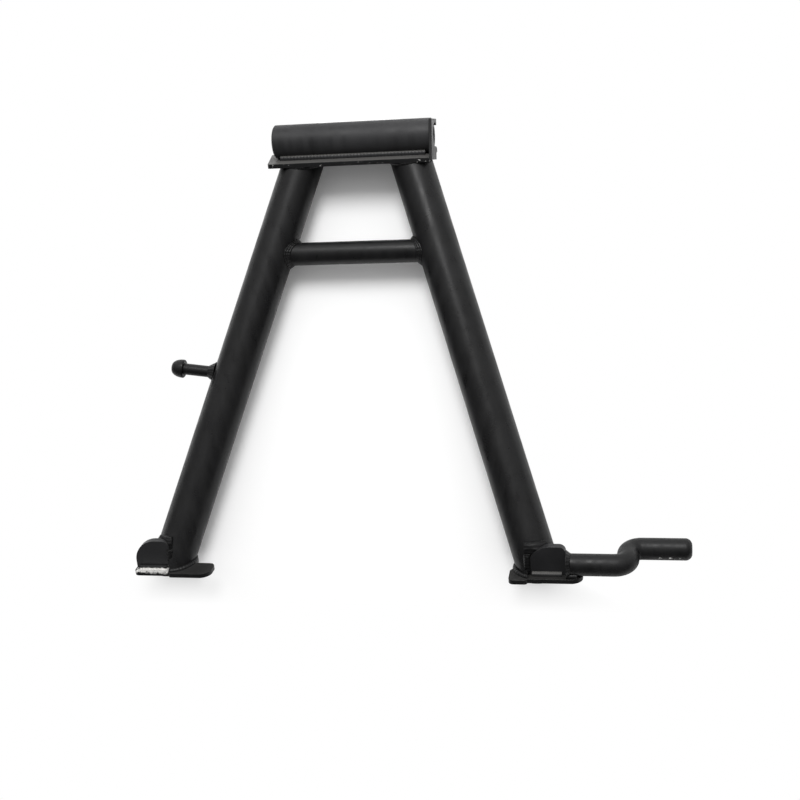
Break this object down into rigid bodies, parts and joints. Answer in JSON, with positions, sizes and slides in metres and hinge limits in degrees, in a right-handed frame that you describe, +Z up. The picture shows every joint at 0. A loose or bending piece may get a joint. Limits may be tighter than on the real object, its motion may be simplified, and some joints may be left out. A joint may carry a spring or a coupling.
{
  "type": "motorcycle centre stand",
  "caption": "Black welded centre stand with a tubular pivot, two splayed leaning legs, a cross tube, toe plates on flat soles, a spring stud and a cranked foot lever.",
  "frame": {"origin": "middle of the pivot tube's axis, with the stand in its lowered stance", "axes": "+X along the pivot towards the foot lever, +Y from the feet back towards the pivot, +Z up, with the soles level"},
  "size_m": [0.3779, 0.1641, 0.2811],
  "materials": {
    "black_paint": "satin",
    "painted_weld": "satin"
  },
  "bodies": {
    "root": {"pivot_tube": "black_paint", "end_plate": "black_paint", "pivot_plate": "black_paint", "leg_left": "black_paint", "leg_right": "black_paint", "cross_tube": "black_paint", "spring_stud": "black_paint", "sole_left": "black_paint", "sole_right": "black_paint", "toe_plate_left": "black_paint", "toe_plate_right": "black_paint", "foot_lever": "black_paint", "weld_pivot_front": "painted_weld", "weld_pivot_rear": "painted_weld", "weld_leg_left": "painted_weld", "weld_leg_right": "painted_weld", "weld_cross_left": "painted_weld", "weld_cross_right": "painted_weld", "weld_stud": "painted_weld", "weld_sole_left": "painted_weld", "weld_sole_right": "painted_weld", "weld_toe_left": "painted_weld", "weld_toe_right": "painted_weld", "weld_lip_left": "painted_weld", "weld_lip_right": "painted_weld", "weld_lever": "painted_weld"}
  },
  "joints": []
}
